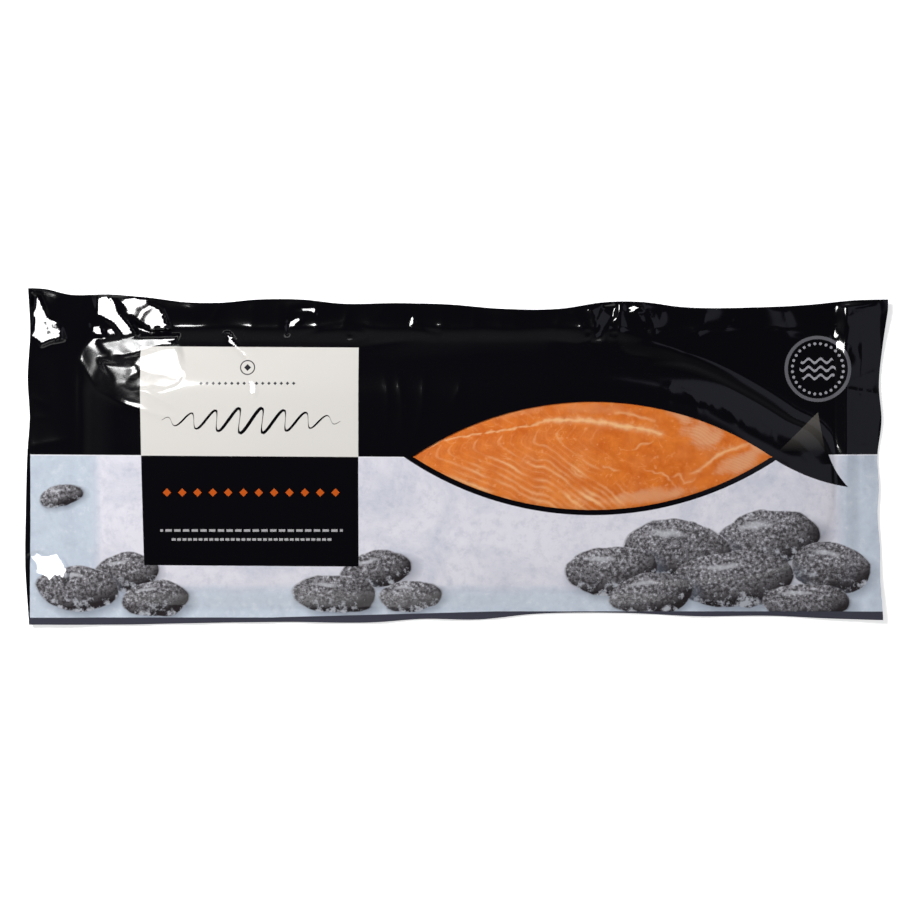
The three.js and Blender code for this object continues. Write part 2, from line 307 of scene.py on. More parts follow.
# The rim goes straight down to the board, and the underside is flat.
bpy.ops.object.mode_set(mode="EDIT")
bpy.ops.mesh.select_all(action="SELECT")
bpy.ops.mesh.region_to_loop()
bpy.ops.mesh.extrude_edges_move()
bpy.ops.transform.resize(value=(1, 1, 0), center_override=(0, 0, SALMON_Z * MM))
bpy.ops.mesh.edge_face_add()
bpy.ops.mesh.select_all(action="SELECT")
bpy.ops.mesh.normals_make_consistent(inside=False)
bpy.ops.object.mode_set(mode="OBJECT")
bpy.ops.object.shade_smooth_by_angle(angle=0.7)


class Field:
    """A number that varies over a surface, worked out by Math nodes."""

    def __init__(self, tree, value):
        self.tree = tree
        self.value = value

    def math(self, operation, *others):
        node = self.tree.nodes.new("ShaderNodeMath")
        node.operation = operation
        for socket, other in zip(node.inputs, (self, *others)):
            if isinstance(other, Field):
                self.tree.links.new(other.value, socket)
            else:
                socket.default_value = other
        return Field(self.tree, node.outputs[0])

    def __add__(self, other):
        return self.math("ADD", other)

    def __sub__(self, other):
        return self.math("SUBTRACT", other)

    def __mul__(self, other):
        return self.math("MULTIPLY", other)

    def __truediv__(self, other):
        return self.math("DIVIDE", other)

    def least(self, *others):
        total = self
        for other in others:
            total = total.math("MINIMUM", other)
        return total

    def most(self, *others):
        total = self
        for other in others:
            total = total.math("MAXIMUM", other)
        return total

    def size(self):
        return self.math("ABSOLUTE")

    def under(self, limit):
        """How far the number lies under this limit."""
        return self * -1.0 + limit

    def reach(self, other):
        """Length of the step (self, other)."""
        return (self * self + other * other).math("SQRT")

    def ramp(self, start, end):
        """0 at start and 1 at end, held beyond them."""
        node = self.tree.nodes.new("ShaderNodeMapRange")
        self.tree.links.new(self.value, node.inputs["Value"])
        node.inputs["From Min"].default_value = start
        node.inputs["From Max"].default_value = end
        return Field(self.tree, node.outputs["Result"])

    def ink(self, blur=0.3):
        """1 where the number is above 0 and 0 below, with an edge of this width."""
        return self.ramp(-blur / 2, blur / 2)

    def wave(self, length):
        return (self * (2 * np.pi / length)).math("SINE")

    def repeat(self, length):
        """The distance from the middle of each of a row of equal spans."""
        return (self / length).math("FRACT") * length - length / 2


def texture(tree, kind, scale, vector, **settings):
    """A texture node of this many features a metre, looking at vector."""
    node = tree.nodes.new(kind)
    for name, value in settings.items():
        if name in node.inputs:
            node.inputs[name].default_value = value
        else:
            setattr(node, name, value)
    node.inputs["Scale"].default_value = scale
    tree.links.new(vector, node.inputs["Vector"])
    return node


# Finish: moist and mottled, with the pale patches, striae and fat laid over by their point values
FLESH_DEEP = (0.67, 0.136, 0.009)
FLESH_LIGHT = (0.82, 0.220, 0.026)
THREAD_TONE = (0.93, 0.46, 0.19)
PALE_TONE = (0.78, 0.340, 0.155)
STRIAE_TONE = (0.88, 0.48, 0.26)
FAT_TONE = (0.96, 0.54, 0.25)

flesh = bpy.data.materials.new("salmon_flesh")
flesh.use_nodes = True
tree = flesh.node_tree
shader = tree.nodes["Principled BSDF"]
shader.inputs["Roughness"].default_value = 0.45
shader.inputs["Specular IOR Level"].default_value = 0.25
shader.inputs["Subsurface Weight"].default_value = 0.15
shader.inputs["Subsurface Scale"].default_value = 0.002
shader.inputs["Subsurface Radius"].default_value = (1.0, 0.45, 0.2)


def attribute(tree, name):
    node = tree.nodes.new("ShaderNodeAttribute")
    node.attribute_name = name
    return node.outputs["Fac"]


def mix_colour(tree, factor, a, b):
    """A colour between a and b; either may be a colour or an output."""
    node = tree.nodes.new("ShaderNodeMix")
    node.data_type = "RGBA"
    for value, name in ((factor, 0), (a, 6), (b, 7)):
        if isinstance(value, bpy.types.NodeSocket):
            tree.links.new(value, node.inputs[name])
        else:
            node.inputs[name].default_value = value if name == 0 else (*value, 1)
    return node.outputs[2]


place = tree.nodes.new("ShaderNodeTexCoord").outputs["Object"]
mottle = Field(tree, texture(tree, "ShaderNodeTexNoise", 90, place, Detail=6, Roughness=0.65).outputs["Fac"])
colour = mix_colour(tree, mottle.ramp(0.35, 0.65).value, FLESH_DEEP, FLESH_LIGHT)
tangle = Field(tree, texture(tree, "ShaderNodeTexNoise", 34, place, Detail=4, Distortion=1.5).outputs["Fac"])
flecks = Field(tree, texture(tree, "ShaderNodeTexNoise", 260, place, Detail=2).outputs["Fac"])
threads = (tangle - 0.5).size().ramp(0.012, 0.002) * mottle.ramp(0.42, 0.60) * 0.38
colour = mix_colour(tree, threads.most(flecks.ramp(0.64, 0.72) * 0.35).value, colour, THREAD_TONE)
colour = mix_colour(tree, attribute(tree, "pale"), colour, PALE_TONE)
colour = mix_colour(tree, attribute(tree, "striae"), colour, STRIAE_TONE)
colour = mix_colour(tree, attribute(tree, "fat"), colour, FAT_TONE)
tree.links.new(colour, shader.inputs["Base Color"])
salmon.data.materials.append(flesh)
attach(salmon, "root")
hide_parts("salmon_side")


# Pouch: thin glossy film, a printed front and a plain black back, heat-sealed to each other round a
# wavy edge. The air is drawn out, so the film clings to the fish and the board and creases.
FILM_GAP = 0.3
POUCH_LEFT, POUCH_RIGHT = -320.6, 321.0
POUCH_HALF_WIDTH = 125.5
MARGIN_LIFT = 2.2
CORNER_LIFT = 3.5
CORNER_X = 321.5
# Corners of the sealed edges: (x, y) along the top and the bottom, (y, x) along the left and the right
TOP_EDGE = [
    (-320.9, 126.5), (-308.0, 125.8), (-291.0, 121.8), (-260.8, 121.8), (-230.6, 119.4), (-201.4, 115.8),
    (-178.2, 115.6), (-149.0, 118.0), (-116.8, 118.0), (-87.6, 115.0), (-42.3, 115.3),
    (-5.0, 114.2), (32.2, 111.1), (77.5, 111.2), (110.8, 116.1), (138.0, 116.1),
    (167.2, 112.4), (219.5, 112.0), (264.8, 114.2), (295.1, 117.2), (323.1, 117.9),
]
BOTTOM_EDGE = [
    (-320.1, -125.5), (-245.7, -125.5), (-192.3, -124.4), (-124.9, -123.6),
    (-64.4, -124.0), (-23.2, -121.3), (18.1, -121.7), (55.4, -117.9), (122.9, -116.8),
    (186.3, -119.4), (234.6, -119.0), (279.9, -120.9), (318.6, -122.0),
]
LEFT_EDGE = [
    (-125.5, -320.1), (-81.6, -323.1), (-47.3, -323.1), (5.0, -321.6),
    (27.2, -320.1), (57.4, -321.6), (93.7, -319.4), (125.5, -320.9),
]
RIGHT_EDGE = [
    (-122.0, 318.6), (-91.6, 316.8), (-69.5, 316.8), (-40.3, 314.9), (-21.1, 316.0),
    (1.0, 314.9), (31.2, 317.9), (57.4, 316.0), (88.6, 318.6), (117.9, 322.4),
]

# The back's grid; the front's has twice as many columns and rows.
BACK_COLUMNS = 215
BACK_ROWS = 85


def outside_board(x, y):
    """How far each point lies outside the board's outline."""
    beyond_x = np.abs(x - BOARD_CENTRE[0]) - (BOARD_LENGTH / 2 - BOARD_CORNER)
    beyond_y = np.abs(y - BOARD_CENTRE[1]) - (BOARD_WIDTH / 2 - BOARD_CORNER)
    return np.maximum(0, np.hypot(np.maximum(0, beyond_x), np.maximum(0, beyond_y)) - BOARD_CORNER)


def pouch_edges(x, y):
    """The sealed edges beside each point, low, high, left and right, straight between the rim's points."""
    columns = np.linspace(POUCH_LEFT, POUCH_RIGHT, BACK_COLUMNS + 1)
    rows = np.linspace(-POUCH_HALF_WIDTH, POUCH_HALF_WIDTH, BACK_ROWS + 1)
    low, high = (np.interp(x, columns, smooth_through(edge, columns)) for edge in (BOTTOM_EDGE, TOP_EDGE))
    left, right = (np.interp(y, rows, smooth_through(edge, rows)) for edge in (LEFT_EDGE, RIGHT_EDGE))
    return low, high, left, right


def pouch_place(u, v):
    """X and Y of each point of the flat pouch, from 0 to 1 along it and across it."""
    x = POUCH_LEFT + (POUCH_RIGHT - POUCH_LEFT) * u
    low, high, left, right = pouch_edges(x, -POUCH_HALF_WIDTH + 2 * POUCH_HALF_WIDTH * v)
    return left + (right - left) * u, low + (high - low) * v


def margin_lift(x, y):
    """How far the sealed margin stands off the table."""
    rise = smoothstep(outside_board(x, y) / 30)
    from_corner = np.hypot(CORNER_X - np.abs(x), POUCH_HALF_WIDTH - np.abs(y))
    corner = CORNER_LIFT * smoothstep(1 - from_corner / 75)
    return rise * (MARGIN_LIFT + corner + 0.6 * np.sin(2 * np.pi * (x + 0.6 * y) / 47))


def crease(x, y, line, height, width):
    """A fold that stands up along a line and dies away at its ends."""
    gap, along = distance_to(x, y, line)
    return height * np.exp(-gap / width) * np.sin(np.pi * np.clip(along, 0.02, 0.98)) ** 0.6


def within(x, y, corners):
    """Distance into a polygon, negative outside it."""
    gap, _ = distance_to(x, y, [*corners, corners[0]])
    odd = np.zeros(x.shape, bool)
    for (ax, ay), (bx, by) in zip(corners, [*corners[1:], corners[0]]):
        if ay != by:
            odd ^= ((ay > y) != (by > y)) & (x < ax + (y - ay) * (bx - ax) / (by - ay))
    return np.where(odd, gap, -gap)


def facet(z, x, y, corners, slope, soft=2.5, above=0):
    """The heights z with a patch in them that leans by the given slopes along X and Y, and has soft edges."""
    cx, cy = np.mean(corners, axis=0)
    middle = z[np.argmin(np.hypot(x - cx, y - cy))] + above
    plane = middle + (x - cx) * slope[0] + (y - cy) * slope[1]
    plane += 0.06 * ripples(x, y, 11, len(corners)) + 0.12 * ripples(x, y, 26, 50 + len(corners))
    return z + (plane - z) * smoothstep(within(x, y, corners) / soft)


def crumple(x, y, centre, size, cell, height, seed):
    """Sharp ridges round shallow dimples, within an oval."""
    rng = np.random.default_rng(seed)
    count = int(5 * size[0] * size[1] / cell**2)
    near = np.full(x.shape, np.inf)
    for px, py in rng.uniform(-1.25, 1.25, (count, 2)) * size + centre:
        near = np.minimum(near, np.hypot(x - px, y - py))
    far = np.hypot((x - centre[0]) / size[0], (y - centre[1]) / size[1])
    return height * np.minimum(near / cell, 1.3) ** 2 * smoothstep((1 - far) / 0.6)


# Folds: corners, height and width
SHOULDER_FOLDS = [
    ([(-292, 88), (-270, 51), (-236, 32)], 0.9, 2.2),
    ([(-272, 51), (-246, 39), (-224, 32), (-205, 28)], 0.8, 2),
    ([(-249, 57), (-228, 47), (-209, 36)], 0.9, 2),
]
TOP_FOLDS = [
    ([(-188, 92), (-178, 78), (-164, 68)], 0.5, 3),
    ([(-122, 88), (-100, 97), (-84, 99), (-70, 96), (-66, 90), (-80, 86)], 0.9, 3),
    ([(-36, 108), (-31, 99), (-22, 95), (-13, 93), (-12, 101)], 1.1, 3),
    ([(-96, 85), (-72, 82), (-48, 86), (-20, 90)], 0.6, 3),
]
RIGHT_FOLDS = [
    ([(70, 88), (90, 84), (104, 90)], 0.8, 3),
    ([(137, 87), (167, 92), (189, 96), (221, 98), (241, 96), (247, 93)], 1.5, 3.5),
    ([(118, 84), (128, 76), (146, 74)], 0.7, 3),
]
# Pleats: x and y of the top end and of the low end, and height
PLEATS = [
    (-54, 68, -52, 20, 0.5), (-44, 66, -41, 8, 0.9), (-24, 64, -31, 14, 0.7), (4, 62, -5, 36, 0.6),
    (84, 112, 98, 88, 1.2), (97, 117, 104, 92, 1.8), (112, 115, 110, 86, 1.6),
    (122, 114, 119, 82, 1.6), (130, 112, 140, 96, 1.4), (142, 110, 148, 90, 1.2),
]
PLEAT_WIDTH = 3.5
PLEAT_BOW = 2


def folds(x, y, inside):
    """How far waves and creases raise the film above what is under it."""
    slack = smoothstep(1 - inside / 20)
    z = 0.5 * ripples(x, y, 70, 21) * (0.4 + 0.6 * slack)

    # Top-left corner: crumpled film
    z += crumple(x, y, (-300, 100), (16, 26), 9, 0.5, 31)
    # Fine folds over the fish's shoulder, short folds at the top edge, and pleats beside the cream panel
    # and over the window's left half
    for fold in SHOULDER_FOLDS + TOP_FOLDS:
        z += crease(x, y, *fold)
    for top_x, top_y, low_x, low_y, height in PLEATS:
        middle = ((top_x + low_x) / 2 + PLEAT_BOW, (top_y + low_y) / 2)
        z += crease(x, y, [(top_x, top_y), middle, (low_x, low_y)], height, PLEAT_WIDTH)
    for fold in RIGHT_FOLDS:
        z += crease(x, y, *fold)
    # Right: streaks on the slanting back of the tail, and a ridge that runs down the margin
    rng = np.random.default_rng(41)
    for start in np.linspace(150, 232, 17) + rng.uniform(-2.5, 2.5, 17):
        top = np.interp(start, (136, 200, 247), (62, 44, 27)) + rng.uniform(-4, 2)
        end = (start + rng.uniform(0, 7), top - rng.uniform(8, 22))
        z += crease(x, y, [(start, top), end], rng.uniform(0.08, 0.3), rng.uniform(1.2, 2.4))
    z += np.interp(x, (283, 291, 316), (0, 4.2, 0)) * smoothstep((y + 75) / 90)
    z += crease(x, y, [(304, 110), (303, 40), (305, -40)], 0.8, 3)
    z += crumple(x, y, (286, 92), (18, 20), 12, 0.8, 33)
    # Seals: fine folds that run in from the edges
    rng = np.random.default_rng(40)
    for start in np.linspace(-300, 300, 34) + rng.uniform(-7, 7, 34):
        for edge, way in ((TOP_EDGE, -1), (BOTTOM_EDGE, 1)):
            length = rng.uniform(12, 30)
            y0 = float(smooth_through(edge, np.array([start]))[0])
            end = (start + rng.uniform(-12, 12), y0 + way * length)
            z += crease(x, y, [(start, y0), end], rng.uniform(0.1, 0.6), rng.uniform(2.5, 5))
    for start in np.linspace(-105, 105, 12) + rng.uniform(-5, 5, 12):
        for edge, way in ((LEFT_EDGE, 1), (RIGHT_EDGE, -1)):
            length = rng.uniform(14, 36)
            x0 = float(smooth_through(edge, np.array([start]))[0])
            end = (x0 + way * length, start + rng.uniform(-12, 12))
            z += crease(x, y, [(x0, start), end], rng.uniform(0.1, 0.7), rng.uniform(2.5, 5))
    return z


# Flat patches that the drawn-in film forms: corners, slopes along X and Y, and where they aren't the
# usual ones, the softness of the edges and the height above the rest.
FACETS = [
    ([(-319, 124), (-311, 122), (-304, 106), (-294, 98), (-292, 87), (-305, 84), (-311, 81), (-319, 88)],
     (0.073, -0.164)),
    ([(-270, 75), (-258, 73), (-242, 70), (-228, 70), (-228, 50), (-242, 49), (-256, 53), (-266, 64)],
     (0.16, -0.12), 5),
    ([(-242, 84), (-207, 86), (-203, 78), (-200, 62), (-206, 53), (-218, 49), (-236, 53), (-242, 70)],
     (0.12, -0.13), 5),
    ([(-272, 88), (-250, 92), (-206, 93), (-206, 84), (-236, 75), (-250, 72), (-266, 77)],
     (0.145, -0.115), 4),
    ([(-262, 122), (-240, 122), (-220, 112), (-213, 95), (-230, 94), (-239, 99), (-250, 110)],
     (0.108, -0.163), 2, 1),
    ([(-273, 123), (-271, 106), (-258, 97), (-251, 88), (-237, 90), (-243, 100), (-252, 110), (-260, 122)],
     (0.10, -0.163), 2, 2.5),
    ([(-276, 102), (-265, 98), (-261, 88), (-273, 90)], (0.095, -0.165), 2, 1),
    ([(-130, 90), (-128, 103), (-122, 106), (-113, 104), (-117, 99), (-124, 96), (-125, 90)],
     (0.165, -0.157)),
    ([(-125, 111), (-117, 114), (-107, 114), (-103, 109), (-107, 102), (-110, 107), (-117, 109)],
     (0.172, -0.157)),
    ([(-175, 94), (-170, 94), (-160, 82), (-153, 70), (-160, 74), (-171, 84)], (0.145, -0.163), 1.2),
    ([(-157, 58), (-149, 57), (-147, 50), (-150, 42), (-155, 49)], (0.155, -0.175), 2),
    ([(-37, 107), (-32, 107), (-30, 101), (-33, 96), (-37, 98)], (0.212, -0.155), 1.5),
    ([(-84, 91), (-77, 93), (-75, 90), (-81, 87)], (0.19, -0.157), 1.5),
    ([(108, 114), (121, 115), (119, 104), (112, 94), (110, 87), (99, 86), (104, 93), (105, 104)],
     (-0.17, -0.24)),
    ([(124, 115), (139, 115), (141, 109), (126, 108)], (0.295, -0.148)),
    ([(95, 95), (101, 95), (100, 88), (96, 87)], (0.275, -0.155)),
    ([(113, 93), (121, 94), (119, 88), (113, 88)], (0.285, -0.155)),
    ([(140, 97), (147, 98), (146, 90), (142, 89)], (0.300, -0.150)),
    ([(281, 99), (286, 101), (287, 88), (282, 86)], (0.371, -0.152)),
    ([(-325, -74), (-315, -70), (-307, -72), (-300, -71), (-294, -75), (-290, -82), (-290, -89),
      (-294, -97), (-299, -91), (-305, -98), (-309, -92), (-314, -89), (-317, -81)],
     (0.071, -0.256), 2, 1),
]


def film_heights(x, y, rim):
    """Height of the front and of the back at each point; rim is the distance in from the sealed edge."""
    outside = outside_board(x, y)
    inside = inside_salmon(x, y)
    over_board = SALMON_Z * (1 - smoothstep((outside - 1) / 14))
    # The film comes down beyond the fish's edge, and does so more steeply at the thin tail.
    spread = np.interp(x, (100, 170), (16, 6))
    foot = np.interp(x, (100, 170), (3.5, 1.3))
    reach = np.minimum(np.logaddexp(0, (inside + spread) / foot) * foot / (EDGE_ROUND + spread), 1)
    over_fish = (salmon_fullness(x, y) + 2 * FILM_GAP) * (1 - (1 - reach) ** 2)
    front = margin_lift(x, y) + over_board + over_fish + folds(x, y, inside) * smoothstep(rim / 5) + FILM_GAP
    unpatched = front
    for patch in FACETS:
        front = facet(front, x, y, *patch)
    corner_crumple = crumple(x, y, (-305, 100), (18, 28), 6, 0.34, 35)
    front += corner_crumple + crumple(x, y, (-243, 105), (38, 22), 6.5, 0.34, 36)
    front += crumple(x, y, (-232, 70), (40, 26), 9, 0.2, 37)
    # It never comes nearer than the gap to the board, the back or the fish.
    under = np.where(outside > 0, 0.4 * smoothstep(rim / 3), BOARD_Z + BOARD_THICKNESS)
    front = np.maximum(front, under + FILM_GAP)
    over = salmon_top(x, y, np.maximum(inside, 0)) + FILM_GAP
    front = np.where(inside > 0, np.maximum(front, over), front)
    back = (np.minimum(front, unpatched) - 1.5 * smoothstep(rim / 3)) * smoothstep(outside / 12)
    return front, np.maximum(back, 0)


def flat_film(columns, rows):
    """A flat grid with the pouch's outline."""
    bpy.ops.object.select_all(action="DESELECT")
    bpy.ops.mesh.primitive_grid_add(x_subdivisions=columns, y_subdivisions=rows, size=1)
    sheet = bpy.context.object
    spots = points_of(sheet)
    spots[:, 0], spots[:, 1] = pouch_place(spots[:, 0] + 0.5, spots[:, 1] + 0.5)
    move_points(sheet, spots * MM)
    return sheet


pouch = flat_film(2 * BACK_COLUMNS, 2 * BACK_ROWS)
pouch.name = "printed_pouch"

# The window's outline, two arcs between its tips, is cut through the flat front.
WINDOW_CENTRE = (100.9, 0.25)
WINDOW_HALF = 133.7
WINDOW_RISE = 40.9
WINDOW_DROP = 39.7


def arc_radius(bulge):
    return (WINDOW_HALF**2 + bulge**2) / (2 * bulge)


def inside_window(x, y):
    """Distance into the window from its nearer arc, negative outside it."""
    dx = x - WINDOW_CENTRE[0]
    dy = y - WINDOW_CENTRE[1]
    upper = arc_radius(WINDOW_RISE) - np.hypot(dx, dy + arc_radius(WINDOW_RISE) - WINDOW_RISE)
    lower = arc_radius(WINDOW_DROP) - np.hypot(dx, dy - arc_radius(WINDOW_DROP) + WINDOW_DROP)
    return np.minimum(upper, lower)


steps = np.linspace(-1, 1, 97)
wall_x = WINDOW_CENTRE[0] + WINDOW_HALF * steps
arcs = []
for bulge, side in ((WINDOW_DROP, -1), (WINDOW_RISE, 1)):
    radius = arc_radius(bulge)
    off_chord = np.sqrt(radius**2 - (wall_x - WINDOW_CENTRE[0]) ** 2) - radius + bulge
    arcs.append(WINDOW_CENTRE[1] + side * off_chord)
outline = [*zip(wall_x, arcs[0])][:-1] + [*zip(wall_x, arcs[1])][:0:-1]
ring = len(outline)
wall = bpy.data.meshes.new("window_wall")
wall.from_pydata(
    [(px * MM, py * MM, z) for z in (-0.005, 0.005) for px, py in outline],
    [],
    [(k, (k + 1) % ring, ring + (k + 1) % ring, ring + k) for k in range(ring)],
)
cutter = bpy.data.objects.new("window_cutter", wall)
bpy.context.collection.objects.link(cutter)
pouch.data.materials.append(bpy.data.materials.new("printed_film"))
wall.materials.append(bpy.data.materials.new("cutter_mark"))
bpy.ops.object.select_all(action="DESELECT")
cutter.select_set(True)
pouch.select_set(True)
bpy.context.view_layer.objects.active = pouch
bpy.ops.object.join()
bpy.ops.object.mode_set(mode="EDIT")
bpy.ops.mesh.select_all(action="DESELECT")
pouch.active_material_index = 1
bpy.ops.object.material_slot_select()
bpy.ops.mesh.intersect(mode="SELECT_UNSELECT", separate_mode="CUT", solver="EXACT")
bpy.ops.mesh.select_all(action="DESELECT")
bpy.ops.object.material_slot_select()
bpy.ops.mesh.delete(type="FACE")
bpy.ops.object.mode_set(mode="OBJECT")


def shape_film(sheet, side):
    """Gives a flat sheet the heights of the front, side 0, or of the back, side 1."""
    spots = points_of(sheet)
    x, y = spots[:, 0] / MM, spots[:, 1] / MM
    low, high, left, right = pouch_edges(x, y)
    rim = np.maximum(np.minimum.reduce([x - left, right - x, y - low, high - y]), 0)
    spots[:, 2] = film_heights(x, y, rim)[side] * MM
    move_points(sheet, spots)


# The front gets its heights, and the clear field becomes a piece of its own.
shape_film(pouch, 0)
middles = np.empty(len(pouch.data.polygons) * 3)
pouch.data.polygons.foreach_get("center", middles)
middles = middles.reshape(-1, 3) / MM
clear = inside_window(middles[:, 0], middles[:, 1]) > 0
pouch.data.vertices.foreach_set("select", np.zeros(len(pouch.data.vertices), bool))
pouch.data.edges.foreach_set("select", np.zeros(len(pouch.data.edges), bool))
pouch.data.polygons.foreach_set("select", clear)
bpy.ops.object.mode_set(mode="EDIT")
bpy.ops.mesh.select_mode(type="FACE")
bpy.ops.mesh.separate(type="SELECTED")
bpy.ops.object.mode_set(mode="OBJECT")
pane = next(o for o in bpy.context.selected_objects if o != pouch)
pane.name = "clear_window"

# The back has half as many columns and rows, so its rim meets every second point of the front's.
back = flat_film(BACK_COLUMNS, BACK_ROWS)
shape_film(back, 1)
back.data.materials.append(bpy.data.materials.new("plain_film"))
bpy.ops.object.mode_set(mode="EDIT")
bpy.ops.mesh.select_all(action="SELECT")
bpy.ops.mesh.flip_normals()
bpy.ops.object.mode_set(mode="OBJECT")
pouch.data.materials.pop(index=1)
pane.data.materials.clear()
pouch.select_set(True)
bpy.context.view_layer.objects.active = pouch
bpy.ops.object.join()
bpy.ops.object.mode_set(mode="EDIT")
bpy.ops.mesh.select_mode(type="VERT")
bpy.ops.mesh.select_all(action="SELECT")
bpy.ops.mesh.remove_doubles(threshold=0.05 * MM)
bpy.ops.mesh.select_all(action="SELECT")
bpy.ops.mesh.fill_holes(sides=3)
bpy.ops.object.mode_set(mode="OBJECT")
bpy.ops.object.select_all(action="DESELECT")
for film in (pouch, pane):
    film.select_set(True)
    bpy.context.view_layer.objects.active = film
    bpy.ops.object.shade_smooth_by_angle(angle=0.9)


# Print on the front: flat inks under the film's gloss, worked out from the place on the pouch. Ice
# with stones on it lies below and black above, with a cream and a black panel at the left.
CREAM = (0.755, 0.73, 0.69)
INK_BLACK = (0.0025, 0.0022, 0.0035)
BACK_INK = (0.003, 0.003, 0.004)
BACK_CLOUD = (0.007, 0.0065, 0.009)
ORANGE = (0.58, 0.10, 0.012)
PALE = (0.42, 0.41, 0.42)
SEAL_GREY = (0.13, 0.13, 0.145)
SEAL_PALE = (0.34, 0.34, 0.37)
STRIP_NAVY = (0.052, 0.053, 0.073)
SAIL_BROWN = (0.105, 0.095, 0.082)
CREST_INK = (0.03, 0.03, 0.035)
BEAD_INK = (0.06, 0.06, 0.07)
ICE_COLD = (0.59, 0.66, 0.75)
ICE_WARM = (0.80, 0.78, 0.85)
# Painted shade for the band along the board's edge
ICE_EDGE_SHADE = (0.46, 0.53, 0.64)
ICE_HOLLOW = (0.47, 0.52, 0.62)
ICE_DIM = (0.42, 0.46, 0.55)
ICE_GLINT = (0.84, 0.85, 0.89)
ICE_RULE = (0.84, 0.84, 0.88)
STONE_DARK = (0.022, 0.018, 0.020)
STONE_LIGHT = (0.30, 0.29, 0.31)
STONE_PIT = (0.03, 0.026, 0.029)
STONE_GRAIN = (0.55, 0.55, 0.60)
STONE_WET = (0.66, 0.67, 0.72)
STONE_FROST = (0.60, 0.62, 0.68)
STONE_SHADE = (0.13, 0.15, 0.20)
# The stones, from back to front: place, half length, half width and turn
STONES = [
    (-296, -30, 17, 9, 0.15), (-247, -86, 24, 14, 0.1), (-284, -98, 30, 17, -0.12),
    (-226, -106, 26, 13, 0.05), (-60, -84, 26, 15, 0.2), (-92, -103, 32, 15, -0.05),
    (-34, -104, 24, 12, 0.1), (232, -62, 40, 21, 0.12), (165, -70, 42, 22, -0.1),
    (281, -84, 30, 20, -0.15), (115, -84, 34, 18, 0.15), (208, -92, 46, 22, 0.03),
    (146, -102, 32, 15, 0.08), (262, -109, 34, 12, 0),
]

film = pouch.data.materials[0]
film.use_nodes = True
tree = film.node_tree
shader = tree.nodes["Principled BSDF"]
shader.inputs["IOR"].default_value = 1.5
place = tree.nodes.new("ShaderNodeTexCoord").outputs["Object"]
split = tree.nodes.new("ShaderNodeSeparateXYZ")
tree.links.new(place, split.inputs[0])
x = Field(tree, split.outputs["X"]) / MM
y = Field(tree, split.outputs["Y"]) / MM

# Ice: crushed and cloudy, warmer where the board lies behind the film, with painted shade along the board's
# edge
grains = texture(tree, "ShaderNodeTexVoronoi", 140, place, feature="DISTANCE_TO_EDGE")
haze = texture(tree, "ShaderNodeTexNoise", 22, place, Detail=9, Roughness=0.68, Distortion=0.6)
frost = Field(tree, texture(tree, "ShaderNodeTexNoise", 150, place, Detail=6, Roughness=0.7).outputs["Fac"])
board_x = (x - BOARD_CENTRE[0]).size() - (BOARD_LENGTH / 2 - BOARD_CORNER)
board_y = (y - BOARD_CENTRE[1]).size() - (BOARD_WIDTH / 2 - BOARD_CORNER)
past_board = board_x.most(0.0).reach(board_y.most(0.0)) - BOARD_CORNER
haze_cloud = Field(tree, haze.outputs["Fac"])
past_board = past_board + (haze_cloud - 0.5) * 16.0
ice = mix_colour(tree, past_board.ramp(4.0, -6.0).value, ICE_COLD, ICE_WARM)
# Painted shade: a darker blue band along the board's edge, where its step lies under the film
board_edge_shade = past_board.size().under(5.0).ramp(0.0, 5.0) * 0.3
ice = mix_colour(tree, board_edge_shade.value, ice, ICE_EDGE_SHADE)
hollows = haze_cloud.ramp(0.56, 0.36)
ice = mix_colour(tree, (hollows * 0.45).value, ice, ICE_HOLLOW)
ice = mix_colour(tree, (frost.ramp(0.50, 0.34) * 0.3).value, ice, ICE_DIM)
glints = Field(tree, grains.outputs["Distance"]).ramp(0.16, 0.5) * haze_cloud.ramp(0.42, 0.7)
bright = (glints * 0.5 + frost.ramp(0.56, 0.70) * 0.4).least(1.0)
ice = mix_colour(tree, bright.value, ice, ICE_GLINT)

# Smooth speckled stones lie in piles on the ice.
wobble = texture(tree, "ShaderNodeTexNoise", 30, place, Detail=3)
nudge = tree.nodes.new("ShaderNodeVectorMath")
nudge.operation = "MULTIPLY_ADD"
nudge.inputs[1].default_value = (0.012, 0.012, 0)
nudge.inputs[2].default_value = (-0.006, -0.006, 0)
tree.links.new(wobble.outputs["Color"], nudge.inputs[0])
uneven = tree.nodes.new("ShaderNodeVectorMath")
tree.links.new(place, uneven.inputs[0])
tree.links.new(nudge.outputs[0], uneven.inputs[1])
on_stone = (0.0, 0.0, 0.0)
stone = shade = None
for stone_x, stone_y, rx, ry, turn in STONES:
    local = tree.nodes.new("ShaderNodeMapping")
    local.vector_type = "TEXTURE"
    local.inputs["Location"].default_value = (stone_x * MM, stone_y * MM, 0)
    local.inputs["Rotation"].default_value = (0, 0, turn)
    local.inputs["Scale"].default_value = (rx * MM, ry * MM, 1)
    tree.links.new(uneven.outputs[0], local.inputs["Vector"])
    from_middle = []
    for shift in ((0, 0, 0), (0.10, -0.20, 0)):
        far = tree.nodes.new("ShaderNodeVectorMath")
        far.operation = "DISTANCE"
        far.inputs[1].default_value = shift
        tree.links.new(local.outputs[0], far.inputs[0])
        from_middle.append(Field(tree, far.outputs["Value"]))
    body = from_middle[0].ramp(1 + 0.5 / ry, 1 - 0.5 / ry)
    dark = from_middle[1].ramp(1.2, 0.85)
    on_stone = mix_colour(tree, body.value, on_stone, local.outputs[0])
    stone = body if stone is None else stone.most(body)
    shade = dark if shade is None else shade.most(dark)
    shade = shade * body.under(1.0)
split = tree.nodes.new("ShaderNodeSeparateXYZ")
tree.links.new(on_stone, split.inputs[0])
side = Field(tree, split.outputs["X"])
rise = Field(tree, split.outputs["Y"])
bulge = (side * side * -1.0 - rise * rise + 1.0).most(0.0).math("SQRT")
lit = side * -0.25 + rise * 0.60 + bulge * 0.50
